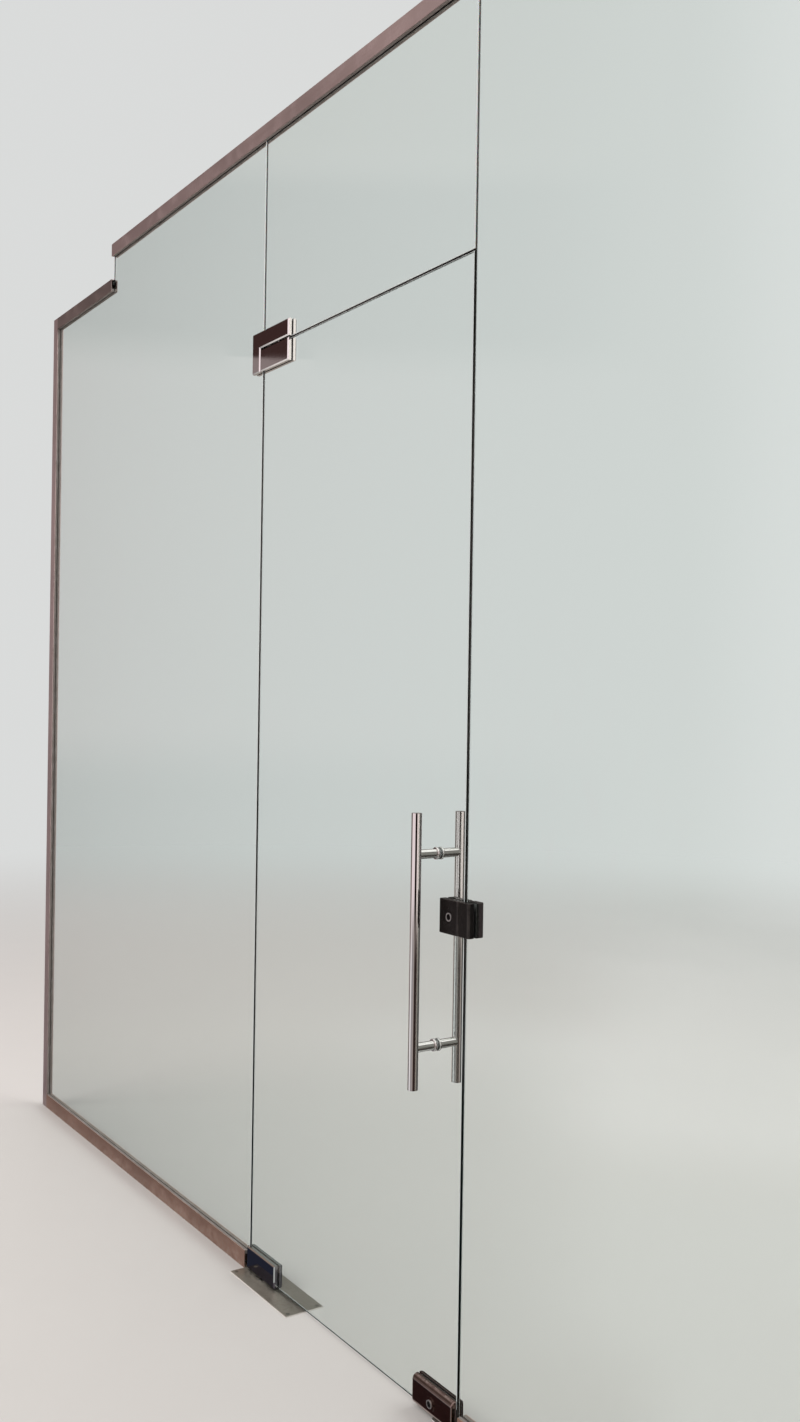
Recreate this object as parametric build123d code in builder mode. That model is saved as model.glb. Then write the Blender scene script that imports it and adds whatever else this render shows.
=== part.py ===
from build123d import *
import os

# Frameless glass entrance screen with a pivoted leaf, in millimetres
# X runs along the screen, Y into the room and Z up
# The origin is on the leaf's pivot axis at floor level, in the middle of the glass

os.makedirs("parts", exist_ok=True)

# Glass
glass_t = 10.0
glass_arris = 1.0
leaf_width = 790.0
leaf_height = 2094.0
leaf_floor_gap = 6.0
pivot_setback = 65.0
side_gap = 3.0
top_gap = 4.0
left_panel_width = 1420.0
right_panel_width = 900.0
over_panel_height = 500.0
beam_width = 492.0
beam_drop = 100.0
beam_seal = 3.0
seal_sink = 0.5

# Aluminium channels that hold the fixed glass
channel_width = 26.0
channel_wall = 2.0
floor_channel_height = 40.0
edge_channel_height = 34.0
edge_cover = 6.0
channel_end_setback = 10.0
fixing_hole_r = 2.5
fixing_end_distance = 60.0
fixing_pitch = 480.0
block_length = 90.0
block_width = 16.0
block_margin = 170.0
bead_depth = 8.0

# Patch fittings that clamp the glass
liner_t = 1.0
liner_inset = 1.5
liner_play = 0.5
plate_t = 6.8
cover_t = 1.2
cover_play = 0.3
face_bevel = 2.5
plate_bevel = 1.8
patch_length = 130.0
patch_height = 50.0
transom_height = 38.0
leg_width = 36.0
notch_length = 108.0
notch_height = 30.0
transom_notch_height = 27.0
notch_r = 8.0
boss_play = 1.0
leg_hole_r = 9.0

# Clamp screws
screw_r = 3.0
screw_play = 0.1
head_r = 5.0
head_h = 4.0
head_play = 0.4
socket_r = 2.4
socket_depth = 2.5
screw_edge = 14.0
tip_cover = 2.0
screw_glass_play = 2.0

# Top pivot
pin_r = 4.0
pin_play = 0.05
pin_drop = 16.0
pin_grip = 20.0
pin_lead = 1.0
bush_wall = 1.2
bush_play = 0.02
bush_depth = 22.0

# Floor closer
floor_plate_length = 260.0
floor_plate_width = 98.0
floor_plate_t = 2.0
floor_plate_play = 1.0
floor_plate_bevel = 0.8
tray_inset = 3.0
tray_wall = 1.5
tray_depth = 58.0
lug_size = 12.0
lug_height = 10.0
plate_screw_r = 2.5
plate_screw_head_r = 4.5
plate_screw_length = 9.0
plate_screw_play = 0.1
closer_reach = 158.0
closer_width = 56.0
closer_height = 46.0
closer_head_r = 34.0
closer_round = 5.0
boss_r = 20.0
boss_h = 6.0
cap_r = 17.0
cap_h = 7.0
valve_r = 4.0
valve_h = 1.5
valve_setback = 16.0
valve_spacing = 26.0
spindle_r = 11.0
spindle_play = 0.05
spindle_depth = 40.0
spindle_seat = 0.3
spindle_shoulder = 1.5
spindle_hole_play = 2.0
tang_length = 20.0
tang_width = 9.0
tang_rise = 22.0
tang_play = 0.1

# Bottom corner lock
corner_length = 121.0
corner_height = 55.0
corner_crown = 12.0
corner_shoulder_r = 10.0
corner_end_r = 2.0
corner_wall = 3.5
corner_notch_margin = 10.0
corner_notch_height = 39.0
corner_key_offset = 64.0
corner_key_rise = 24.0
corner_left_screw = 25.0
corner_right_screw = 18.0
corner_bolt_offset = 36.0
corner_bolt_width = 22.0
corner_bolt_t = 8.0
corner_bolt_length = 30.0
corner_bolt_lift = 2.0
corner_bolt_throw = 16.0
bolt_lead = 1.0
keep_length = 62.0
keep_width = 26.0
keep_corner_r = 6.5
keep_t = 1.5
keep_wall = 2.0
keep_room = 10.0
keep_play = 1.0

# Key cylinders
cylinder_r = 7.8
cylinder_play = 0.2
cylinder_proud = 1.2
cylinder_glass_play = 3.0
plug_r = 5.8
plug_play = 0.05
plug_sink = 0.4
keyway_width = 1.6
keyway_height = 7.0
keyway_depth = 5.0
rosette_r = 13.0
rosette_h = 1.5

# Lock at hand height
lock_centre_height = 917.0
lock_width = 56.0
lock_height = 62.0
lock_outer_depth = 12.5
lock_inner_depth = 17.0
lock_pad_t = 0.8
lock_round = 6.0
lock_edge_r = 1.5
lock_key_offset = 27.0
lock_bolt_length = 42.0
lock_bolt_t = 8.0
lock_bolt_height = 14.0
lock_bolt_rise = 18.0
lock_bolt_inset = 1.0
lock_bolt_throw = 12.0
lock_bolt_depth = 7.0
bolt_play = 0.2
lock_screw_side = 8.0
lock_screw_drop = 19.0
lock_screw_cover = 5.0
strike_width = 27.5
pocket_play = 0.6
turn_r = 11.0
turn_plate_h = 3.0
turn_grip_h = 10.0
turn_grip_width = 6.0
turn_play = 0.5

# Pull handle
handle_setback = 83.5
handle_height = 849.5
bar_r = 9.5
bar_wall = 1.5
bar_length = 500.0
bar_offset = 52.0
post_spacing = 350.0
post_r = 8.5
collar_r = 11.5
collar_h = 4.0
collar_round = 1.3
washer_t = 1.0
washer_inset = 0.5
stud_r = 4.0
stud_play = 0.1
stud_reach = 14.0
stud_seat = 0.3
handle_hole_r = 6.0
saddle_play = 0.05
cap_t = 2.0
cap_spigot = 8.0
cap_play = 0.1

# Places that follow from the sizes
half_t = glass_t / 2
hinge_edge = -pivot_setback
lock_edge = leaf_width - pivot_setback
left_joint = hinge_edge - side_gap
right_joint = lock_edge + side_gap
leaf_bottom = leaf_floor_gap
leaf_top = leaf_bottom + leaf_height
transom_bottom = leaf_top + top_gap
glass_seat = channel_wall + edge_cover
panel_top = transom_bottom + over_panel_height
ceiling_height = panel_top + glass_seat
wall_x = left_joint - left_panel_width
end_x = right_joint + right_panel_width
soffit_z = ceiling_height - beam_drop
beam_x = wall_x + beam_width
beam_edge = beam_x + beam_seal
channel_end = left_joint - channel_end_setback
liner_face = half_t + liner_t
plate_face = liner_face + plate_t
cover_face = plate_face + cover_t
plate_left = channel_end + floor_plate_play
plate_right = plate_left + floor_plate_length
case_back = half_t + lock_pad_t
outer_case_face = case_back + lock_outer_depth
inner_case_face = case_back + lock_inner_depth
crown_face = half_t + corner_crown
keep_depth = corner_bolt_throw - leaf_bottom - corner_bolt_lift + keep_room + keep_wall
plate_inset = cover_t + cover_play
corner_inset = corner_wall + cover_play
plate_seat = -plate_face + head_h + head_play
screw_seat = inner_case_face - head_h - head_play
screw_reach = -outer_case_face + lock_screw_cover


def finish(piece, name):
    """Label a finished piece and write it to its own file."""
    piece.part.label = name
    export_step(piece.part, f"parts/{name}.step")


def box_points(x0, z0, x1, z1):
    """Corners of an upright rectangle, seen from outside."""
    return [(x0, z0), (x1, z0), (x1, z1), (x0, z1)]


def prism(points, y0, y1, inset=0.0, mode=Mode.ADD):
    """Add or cut a block of one outline between two depths."""
    with BuildSketch(Plane.XZ.offset(-y0)) as shape:
        with BuildLine():
            Polyline(*points, close=True)
        make_face()
        if inset > 0:
            offset(amount=-inset, kind=Kind.INTERSECTION, mode=Mode.REPLACE)
    extrude(shape.sketch, amount=y1 - y0, dir=(0, 1, 0), mode=mode)


def rods(centres, radius, y0, y1, mode=Mode.ADD):
    """Add or cut round rods that run through the screen."""
    with BuildSketch(Plane.XZ.offset(-y0)) as shape:
        with Locations(*centres):
            Circle(radius)
    extrude(shape.sketch, amount=y1 - y0, dir=(0, 1, 0), mode=mode)


def upright(centre, radius, z0, z1, mode=Mode.ADD):
    """Add or cut an upright rod."""
    with BuildSketch(Plane.XY.offset(z0)) as shape:
        with Locations(centre):
            Circle(radius)
    extrude(shape.sketch, amount=z1 - z0, mode=mode)


def block(x0, x1, y0, y1, z0, z1, mode=Mode.ADD):
    """Add or cut a plain block between two corners."""
    with BuildSketch(Plane.XY.offset(z0)) as shape:
        with Locations(((x0 + x1) / 2, (y0 + y1) / 2)):
            Rectangle(x1 - x0, y1 - y0)
    extrude(shape.sketch, amount=z1 - z0, mode=mode)


def bevelled(points, inset, start, height, bevel):
    """Flat block on the outside of the glass, bevelled round its face."""
    with BuildPart() as piece:
        prism(points, -start - height, -start, inset=inset)
        chamfer(piece.faces().sort_by(Axis.Y)[0].edges(), bevel)
    return piece.part


# Outlines of the fittings and of the glass notches that they sit in
bottom_patch = box_points(hinge_edge, leaf_bottom, hinge_edge + patch_length, leaf_bottom + patch_height)
bottom_notch = box_points(hinge_edge, leaf_bottom, hinge_edge + notch_length, leaf_bottom + notch_height)
top_patch = box_points(hinge_edge, leaf_top - patch_height, hinge_edge + patch_length, leaf_top)
top_notch = box_points(hinge_edge, leaf_top - notch_height, hinge_edge + notch_length, leaf_top)
transom_notch_top = transom_bottom + transom_notch_height
transom_notch = box_points(hinge_edge, transom_bottom, hinge_edge + notch_length, transom_notch_top)
pivot_patch = [
    (left_joint - leg_width, leaf_top - patch_height),
    (left_joint, leaf_top - patch_height),
    (left_joint, transom_bottom),
    (hinge_edge + patch_length, transom_bottom),
    (hinge_edge + patch_length, transom_bottom + transom_height),
    (left_joint - leg_width, transom_bottom + transom_height),
]
corner_left = lock_edge - corner_length
corner_patch = box_points(corner_left, leaf_bottom, lock_edge, leaf_bottom + corner_height)
corner_notch = box_points(
    corner_left + corner_notch_margin,
    leaf_bottom,
    lock_edge,
    leaf_bottom + corner_notch_height,
)
bottom_corner = (hinge_edge + notch_length, leaf_bottom + notch_height)
top_corner = (hinge_edge + notch_length, leaf_top - notch_height)
transom_corner = (hinge_edge + notch_length, transom_notch_top)
corner_lock_corner = (corner_left + corner_notch_margin, leaf_bottom + corner_notch_height)
lock_low = lock_centre_height - lock_height / 2
lock_high = lock_centre_height + lock_height / 2
lock_case = box_points(lock_edge - lock_width, lock_low, lock_edge, lock_high)
strike_case = box_points(right_joint, lock_low, right_joint + strike_width, lock_high)

# Centres of the screws, keys and holes, seen from outside
bottom_screws = [
    (hinge_edge + screw_edge, leaf_bottom + notch_height / 2),
    (hinge_edge + notch_length - screw_edge, leaf_bottom + notch_height / 2),
]
top_screws = [(x, leaf_top - notch_height / 2) for x, z in bottom_screws]
transom_screws = [(x, transom_bottom + transom_notch_height / 2) for x, z in bottom_screws]
leg_screw = (left_joint - leg_width / 2, leaf_top - patch_height / 2)
corner_screws = [
    (corner_left + corner_left_screw, leaf_bottom + corner_notch_height / 2),
    (lock_edge - corner_right_screw, leaf_bottom + corner_notch_height / 2),
]
corner_key = (lock_edge - corner_key_offset, leaf_bottom + corner_key_rise)
corner_bolt_x = lock_edge - corner_bolt_offset
lock_key = (lock_edge - lock_key_offset, lock_centre_height)
lock_screws = [
    (lock_edge - lock_width + lock_screw_side, lock_centre_height + lock_screw_drop),
    (lock_edge - lock_screw_side, lock_centre_height - lock_screw_drop),
]
strike_screws = [
    (right_joint + strike_width / 2, lock_centre_height - lock_screw_drop),
    (right_joint + strike_width / 2, lock_centre_height),
]
handle_x = lock_edge - handle_setback
handle_posts_at = [
    (handle_x, handle_height - post_spacing / 2),
    (handle_x, handle_height + post_spacing / 2),
]
screw_hole_r = screw_r + screw_play
glass_screw_r = screw_r + screw_glass_play
glass_key_r = cylinder_r + cylinder_glass_play
key_bore_r = cylinder_r + cylinder_play


def pane(points, notches=(), holes=()):
    """Toughened glass pane with notches round in their inner corners, holes and arrises."""
    with BuildPart() as piece:
        prism(points, -half_t, half_t)
        for notch, (x, z) in notches:
            prism(notch, -half_t, half_t, mode=Mode.SUBTRACT)
            corner = piece.edges().filter_by(Axis.Y).sort_by_distance((x, 0, z))[0]
            fillet(corner, notch_r)
        for centres, radius in holes:
            rods(centres, radius, -half_t, half_t, Mode.SUBTRACT)
        chamfer(piece.faces().filter_by(Axis.Y).edges(), glass_arris)
    return piece


# Fixed glass
notch_foot = soffit_z - glass_seat
left_glass = pane(
    box_points(wall_x + glass_seat, glass_seat, left_joint, panel_top),
    notches=[(box_points(wall_x, notch_foot, beam_edge, ceiling_height), (beam_edge, notch_foot))],
    holes=[([leg_screw], leg_hole_r)],
)
finish(left_glass, "left_glass_panel")

over_glass = pane(
    box_points(hinge_edge, transom_bottom, lock_edge, panel_top),
    notches=[(transom_notch, transom_corner)],
)
finish(over_glass, "over_panel_glass")

right_glass = pane(
    box_points(right_joint, glass_seat, end_x - glass_seat, panel_top),
    holes=[(strike_screws, glass_screw_r)],
)
finish(right_glass, "right_glass_panel")

# Leaf glass
door_glass = pane(
    box_points(hinge_edge, leaf_bottom, lock_edge, leaf_top),
    notches=[
        (bottom_notch, bottom_corner),
        (top_notch, top_corner),
        (corner_notch, corner_lock_corner),
    ],
    holes=[
        ([lock_key], glass_key_r),
        (lock_screws, glass_screw_r),
        (handle_posts_at, handle_hole_r),
    ],
)
finish(door_glass, "door_glass")

# Each run of channel: the plane of its end, its length, its height and its beads' trims
channel_runs = {
    "left_floor_channel": (
        Plane((wall_x + edge_channel_height, 0, 0), x_dir=(0, 1, 0), z_dir=(1, 0, 0)),
        channel_end - wall_x - edge_channel_height,
        floor_channel_height,
        (0, 0),
    ),
    "right_floor_channel": (
        Plane((right_joint + channel_end_setback, 0, 0), x_dir=(0, 1, 0), z_dir=(1, 0, 0)),
        right_panel_width - channel_end_setback - edge_channel_height,
        floor_channel_height,
        (0, 0),
    ),
    "wall_channel": (
        Plane((wall_x, 0, 0), x_dir=(0, -1, 0), z_dir=(0, 0, 1)),
        soffit_z,
        edge_channel_height,
        (floor_channel_height, edge_channel_height),
    ),
    "end_channel": (
        Plane((end_x, 0, 0), x_dir=(0, 1, 0), z_dir=(0, 0, 1)),
        ceiling_height,
        edge_channel_height,
        (floor_channel_height, edge_channel_height),
    ),
    "soffit_channel": (
        Plane((wall_x + edge_channel_height, 0, soffit_z), x_dir=(0, -1, 0), z_dir=(1, 0, 0)),
        beam_width - edge_channel_height,
        edge_channel_height,
        (0, 0),
    ),
    "ceiling_channel": (
        Plane((beam_x, 0, ceiling_height), x_dir=(0, -1, 0), z_dir=(1, 0, 0)),
        end_x - edge_channel_height - beam_x,
        edge_channel_height,
        (0, 0),
    ),
}


def fixing_places(length):
    """Distances along a channel of its fixing holes, at about the fixing pitch."""
    span = length - 2 * fixing_end_distance
    gaps = max(1, round(span / fixing_pitch))
    return [fixing_end_distance + span * i / gaps for i in range(gaps + 1)]


def channel(plane, length, height):
    """U channel with its web on the building and its fixing holes in the web."""
    with BuildPart() as piece:
        with BuildSketch(plane):
            Rectangle(channel_width, height, align=(Align.CENTER, Align.MIN))
            with Locations((0, channel_wall)):
                Rectangle(
                    channel_width - 2 * channel_wall,
                    height,
                    align=(Align.CENTER, Align.MIN),
                    mode=Mode.SUBTRACT,
                )
        extrude(amount=length)
        web = Plane(plane.origin, x_dir=plane.z_dir, z_dir=plane.y_dir)
        with BuildSketch(web):
            with Locations(*[(place, 0) for place in fixing_places(length)]):
                Circle(fixing_hole_r)
        extrude(amount=channel_wall, mode=Mode.SUBTRACT)
    return piece


for name, (plane, length, height, trims) in channel_runs.items():
    finish(channel(plane, length, height), name)

# Rubber blocks that the fixed panes stand on
with BuildPart() as setting_blocks:
    for start, stop in ((wall_x, left_joint), (right_joint, end_x)):
        for centre in (start + block_margin, stop - block_margin):
            block(
                centre - block_length / 2,
                centre + block_length / 2,
                -block_width / 2,
                block_width / 2,
                channel_wall,
                glass_seat,
            )
finish(setting_blocks, "setting_blocks")

# Glazing beads that fill each channel's lips on both faces of the glass
bead_width = channel_width / 2 - channel_wall - half_t
bead_y = half_t + bead_width / 2
with BuildPart() as channel_beads:
    for plane, length, height, trims in channel_runs.values():
        with BuildSketch(plane.offset(trims[0])):
            with Locations((-bead_y, height - bead_depth / 2), (bead_y, height - bead_depth / 2)):
                Rectangle(bead_width, bead_depth)
        extrude(amount=length - sum(trims))
finish(channel_beads, "channel_beads")

# Silicone joints between fixed panes and beside the beam
seal_y = half_t - seal_sink
with BuildPart() as joint_seals:
    patch_head = transom_bottom + transom_height
    block(left_joint, hinge_edge, -seal_y, seal_y, patch_head, panel_top)
    block(lock_edge, right_joint, -seal_y, seal_y, transom_bottom, panel_top)
    block(beam_x, beam_edge, -seal_y, seal_y, soffit_z, ceiling_height - edge_channel_height)
finish(joint_seals, "joint_seals")


def patch_cover(points):
    """Pressed cover of a patch fitting, open towards the glass."""
    start = half_t + cover_play
    shell = bevelled(points, 0, start, cover_face - start, face_bevel)
    hollow = bevelled(points, cover_t, start, plate_face - start, plate_bevel)
    with BuildPart() as piece:
        add(shell)
        add(hollow, mode=Mode.SUBTRACT)
    return piece


def clamp_plate(points, screws, inset):
    """Outer plate with a counterbore for the head of each clamp screw."""
    blank = bevelled(points, inset, liner_face, plate_t, plate_bevel)
    with BuildPart() as piece:
        add(blank)
        rods(screws, screw_hole_r, -plate_face, -liner_face, Mode.SUBTRACT)
        rods(screws, head_r + head_play, -plate_face, plate_seat, Mode.SUBTRACT)
    return piece


def patch_body(points, notch, inner_corner, screws, inset):
    """Inner plate cast in one with the core that stands in the glass notch."""
    plate = bevelled(points, inset, liner_face, plate_t, plate_bevel)
    x, z = inner_corner
    with BuildPart() as core:
        prism(notch, -liner_face, liner_face, inset=inset)
        corner = core.edges().filter_by(Axis.Y).sort_by_distance((x, 0, z))[0]
        fillet(corner, notch_r - inset)
    with BuildPart() as piece:
        mirror(plate, about=Plane.XZ)
        add(core.part)
        rods(screws, screw_hole_r, -liner_face, plate_face - tip_cover, Mode.SUBTRACT)
    return piece.part


def liners(points, openings, inset=liner_inset, thickness=liner_t, holes=()):
    """Add the soft liners of one fitting, one on each face of the glass."""
    for side in (-1, 1):
        near = side * half_t
        far = side * (half_t + thickness)
        prism(points, near, far, inset=inset)
        for opening in openings:
            prism(opening, near, far, mode=Mode.SUBTRACT)
        for centres, radius in holes:
            rods(centres, radius, near, far, Mode.SUBTRACT)


# Top pivot patch on the side panel and the over panel
pivot_cover = patch_cover(pivot_patch)
finish(pivot_cover, "pivot_patch_outer_cover")
with BuildPart() as pivot_inner_cover:
    mirror(pivot_cover.part, about=Plane.XZ)
finish(pivot_inner_cover, "pivot_patch_inner_cover")
pivot_screws = transom_screws + [leg_screw]
finish(clamp_plate(pivot_patch, pivot_screws, plate_inset), "pivot_patch_clamp_plate")

pin_top = transom_bottom + pin_grip
with BuildPart() as pivot_body:
    add(patch_body(pivot_patch, transom_notch, transom_corner, transom_screws, plate_inset))
    rods([leg_screw], leg_hole_r - boss_play, -liner_face, liner_face)
    rods([leg_screw], screw_hole_r, -liner_face, plate_face - tip_cover, Mode.SUBTRACT)
    upright((0, 0), pin_r + pin_play, transom_bottom, pin_top, Mode.SUBTRACT)
finish(pivot_body, "pivot_patch_body")

with BuildPart() as pivot_pin:
    upright((0, 0), pin_r, leaf_top - pin_drop, pin_top)
    chamfer(pivot_pin.faces().sort_by(Axis.Z)[0].edges(), pin_lead)
finish(pivot_pin, "top_pivot_pin")

# Top patch of the leaf, with the bush that turns on the pin
bush_r = pin_r + pin_play + bush_wall
top_cover = patch_cover(top_patch)
finish(top_cover, "top_patch_outer_cover")
with BuildPart() as top_inner_cover:
    mirror(top_cover.part, about=Plane.XZ)
finish(top_inner_cover, "top_patch_inner_cover")
finish(clamp_plate(top_patch, top_screws, plate_inset), "top_patch_clamp_plate")

with BuildPart() as top_body:
    add(patch_body(top_patch, top_notch, top_corner, top_screws, plate_inset))
    upright((0, 0), bush_r + bush_play, leaf_top - bush_depth, leaf_top, Mode.SUBTRACT)
finish(top_body, "top_patch_body")

with BuildPart() as pivot_bush:
    upright((0, 0), bush_r, leaf_top - bush_depth, leaf_top - plate_inset)
    upright((0, 0), pin_r + pin_play, leaf_top - bush_depth, leaf_top, Mode.SUBTRACT)
finish(pivot_bush, "top_pivot_bush")

# Bottom patch of the leaf, with the socket for the closer's tang
bottom_cover = patch_cover(bottom_patch)
finish(bottom_cover, "bottom_patch_outer_cover")
with BuildPart() as bottom_inner_cover:
    mirror(bottom_cover.part, about=Plane.XZ)
finish(bottom_inner_cover, "bottom_patch_inner_cover")
finish(clamp_plate(bottom_patch, bottom_screws, plate_inset), "bottom_patch_clamp_plate")

tang_top = leaf_bottom + tang_rise
socket_x = tang_length / 2 + tang_play
socket_y = tang_width / 2 + tang_play
with BuildPart() as bottom_body:
    add(patch_body(bottom_patch, bottom_notch, bottom_corner, bottom_screws, plate_inset))
    block(-socket_x, socket_x, -socket_y, socket_y, leaf_bottom, tang_top + tang_play, Mode.SUBTRACT)
finish(bottom_body, "bottom_patch_body")

# Floor closer: spindle, housing, tray in the floor and cover plate
shoulder_z = floor_plate_t + spindle_shoulder
with BuildPart() as spindle:
    upright((0, 0), spindle_r, -spindle_depth, shoulder_z)
    block(-tang_length / 2, tang_length / 2, -tang_width / 2, tang_width / 2, shoulder_z, tang_top)
finish(spindle, "closer_spindle")

tray_floor = tray_wall - tray_depth
closer_top = tray_floor + closer_height
with BuildPart() as closer_body:
    with BuildSketch(Plane.XY.offset(tray_floor)):
        Circle(closer_head_r)
        with Locations((closer_reach / 2, 0)):
            Rectangle(closer_reach, closer_width)
    extrude(amount=closer_height)
    fillet(closer_body.faces().sort_by(Axis.Z)[-1].edges(), closer_round)
    upright((0, 0), boss_r, closer_top, closer_top + boss_h)
    cap_z = (tray_floor + closer_top) / 2
    with BuildSketch(Plane.YZ.offset(closer_reach)):
        with Locations((0, cap_z)):
            RegularPolygon(cap_r, 6)
    extrude(amount=cap_h)
    for side in (-1, 1):
        valve = (closer_reach - valve_setback, side * valve_spacing / 2)
        upright(valve, valve_r, closer_top, closer_top + valve_h)
    bore_r = spindle_r + spindle_play
    upright((0, 0), bore_r, -spindle_depth - spindle_seat, closer_top + boss_h, Mode.SUBTRACT)
finish(closer_body, "closer_body")

tray_left = plate_left + tray_inset
tray_right = plate_right - tray_inset
tray_y = floor_plate_width / 2 - tray_inset
plate_screws_at = [
    (x, y)
    for x in (tray_left + tray_wall + lug_size / 2, tray_right - tray_wall - lug_size / 2)
    for y in (-tray_y + tray_wall + lug_size / 2, tray_y - tray_wall - lug_size / 2)
]
with BuildPart() as tray:
    block(tray_left, tray_right, -tray_y, tray_y, -tray_depth, 0)
    block(
        tray_left + tray_wall,
        tray_right - tray_wall,
        -tray_y + tray_wall,
        tray_y - tray_wall,
        tray_floor,
        0,
        Mode.SUBTRACT,
    )
    for x, y in plate_screws_at:
        half = lug_size / 2
        block(x - half, x + half, y - half, y + half, -lug_height, 0)
        upright((x, y), plate_screw_r + plate_screw_play, -lug_height, 0, Mode.SUBTRACT)
finish(tray, "closer_tray")

screw_cone = plate_screw_head_r - plate_screw_r
with BuildPart() as floor_plate:
    block(plate_left, plate_right, -floor_plate_width / 2, floor_plate_width / 2, 0, floor_plate_t)
    chamfer(floor_plate.faces().sort_by(Axis.Z)[-1].edges(), floor_plate_bevel)
    upright((0, 0), spindle_r + spindle_hole_play, 0, floor_plate_t, Mode.SUBTRACT)
    for x, y in plate_screws_at:
        with Locations((x, y, floor_plate_t)):
            CounterSinkHole(
                plate_screw_r + plate_screw_play,
                plate_screw_head_r + plate_screw_play,
                depth=floor_plate_t,
                counter_sink_angle=90,
            )
finish(floor_plate, "closer_cover_plate")

with BuildPart() as plate_screws:
    for x, y in plate_screws_at:
        with BuildSketch(Plane((x, y, 0), x_dir=(1, 0, 0), z_dir=(0, -1, 0))):
            with BuildLine():
                Polyline(
                    (0, floor_plate_t),
                    (plate_screw_head_r, floor_plate_t),
                    (plate_screw_r, floor_plate_t - screw_cone),
                    (plate_screw_r, floor_plate_t - plate_screw_length),
                    (0, floor_plate_t - plate_screw_length),
                    close=True,
                )
            make_face()
        revolve(axis=Axis((x, y, 0), (0, 0, 1)))
finish(plate_screws, "closer_plate_screws")


def key_cylinder(centre, y0, y1):
    """Fixed barrel of a lock, with the bore that its plug turns in."""
    with BuildPart() as piece:
        rods([centre], cylinder_r, y0, y1)
        rods([centre], plug_r + plug_play, y0, y1, Mode.SUBTRACT)
    return piece


def key_plug(centre, y0, y1, keyed_ends):
    """Turning plug with a keyway in each end that takes a key."""
    x, z = centre
    slot = box_points(
        x - keyway_width / 2,
        z - keyway_height / 2,
        x + keyway_width / 2,
        z + keyway_height / 2,
    )
    with BuildPart() as piece:
        rods([centre], plug_r, y0, y1)
        if "outer" in keyed_ends:
            prism(slot, y0, y0 + keyway_depth, mode=Mode.SUBTRACT)
        if "inner" in keyed_ends:
            prism(slot, y1 - keyway_depth, y1, mode=Mode.SUBTRACT)
    return piece


# Corner lock: rounded covers, clamp plate, body, barrel, plug, bolt and floor keep
with BuildPart() as corner_cover:
    prism(corner_patch, -crown_face, -half_t - cover_play)
    face_edges = corner_cover.faces().sort_by(Axis.Y)[0].edges()
    fillet(face_edges.filter_by(Axis.X), corner_shoulder_r)
    ends = corner_cover.faces().filter_by(Axis.X)
    rims = ends.edges().filter_by(lambda edge: edge.center().Y < -half_t - corner_end_r)
    fillet(rims, corner_end_r)
    rods([corner_key], rosette_r, -crown_face - rosette_h, -crown_face + corner_end_r)
    prism(corner_patch, -plate_face, -half_t - cover_play, inset=corner_wall, mode=Mode.SUBTRACT)
    rods([corner_key], key_bore_r, -crown_face - rosette_h, -half_t, Mode.SUBTRACT)
finish(corner_cover, "corner_lock_outer_cover")
with BuildPart() as corner_inner_cover:
    mirror(corner_cover.part, about=Plane.XZ)
finish(corner_inner_cover, "corner_lock_inner_cover")

with BuildPart() as corner_clamp:
    add(clamp_plate(corner_patch, corner_screws, corner_inset).part)
    rods([corner_key], key_bore_r, -plate_face, -liner_face, Mode.SUBTRACT)
finish(corner_clamp, "corner_lock_clamp_plate")

tunnel_x = corner_bolt_width / 2 + bolt_play
tunnel_y = corner_bolt_t / 2 + bolt_play
corner_bolt_z = leaf_bottom + corner_bolt_lift
corner_bolt_top = corner_bolt_z + corner_bolt_length
with BuildPart() as corner_body:
    add(patch_body(corner_patch, corner_notch, corner_lock_corner, corner_screws, corner_inset))
    rods([corner_key], key_bore_r, -liner_face, plate_face, Mode.SUBTRACT)
    block(
        corner_bolt_x - tunnel_x,
        corner_bolt_x + tunnel_x,
        -tunnel_y,
        tunnel_y,
        leaf_bottom,
        corner_bolt_top + bolt_play,
        Mode.SUBTRACT,
    )
finish(corner_body, "corner_lock_body")

barrel_end = crown_face + rosette_h + cylinder_proud
finish(key_cylinder(corner_key, -barrel_end, barrel_end), "corner_lock_cylinder")
plug_end = barrel_end - plug_sink
finish(key_plug(corner_key, -plug_end, plug_end, ("outer", "inner")), "corner_lock_plug")

with BuildPart() as corner_bolt:
    block(
        corner_bolt_x - corner_bolt_width / 2,
        corner_bolt_x + corner_bolt_width / 2,
        -corner_bolt_t / 2,
        corner_bolt_t / 2,
        corner_bolt_z,
        corner_bolt_top,
    )
    chamfer(corner_bolt.faces().sort_by(Axis.Z)[0].edges(), bolt_lead)
finish(corner_bolt, "corner_lock_bolt")

slot_x = corner_bolt_width / 2 + keep_play
slot_y = corner_bolt_t / 2 + keep_play
with BuildPart() as floor_keep:
    block(
        corner_bolt_x - keep_length / 2,
        corner_bolt_x + keep_length / 2,
        -keep_width / 2,
        keep_width / 2,
        0,
        keep_t,
    )
    fillet(floor_keep.edges().filter_by(Axis.Z), keep_corner_r)
    block(
        corner_bolt_x - slot_x - keep_wall,
        corner_bolt_x + slot_x + keep_wall,
        -slot_y - keep_wall,
        slot_y + keep_wall,
        -keep_depth,
        0,
    )
    block(
        corner_bolt_x - slot_x,
        corner_bolt_x + slot_x,
        -slot_y,
        slot_y,
        keep_wall - keep_depth,
        keep_t,
        Mode.SUBTRACT,
    )
finish(floor_keep, "floor_keep")


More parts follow.
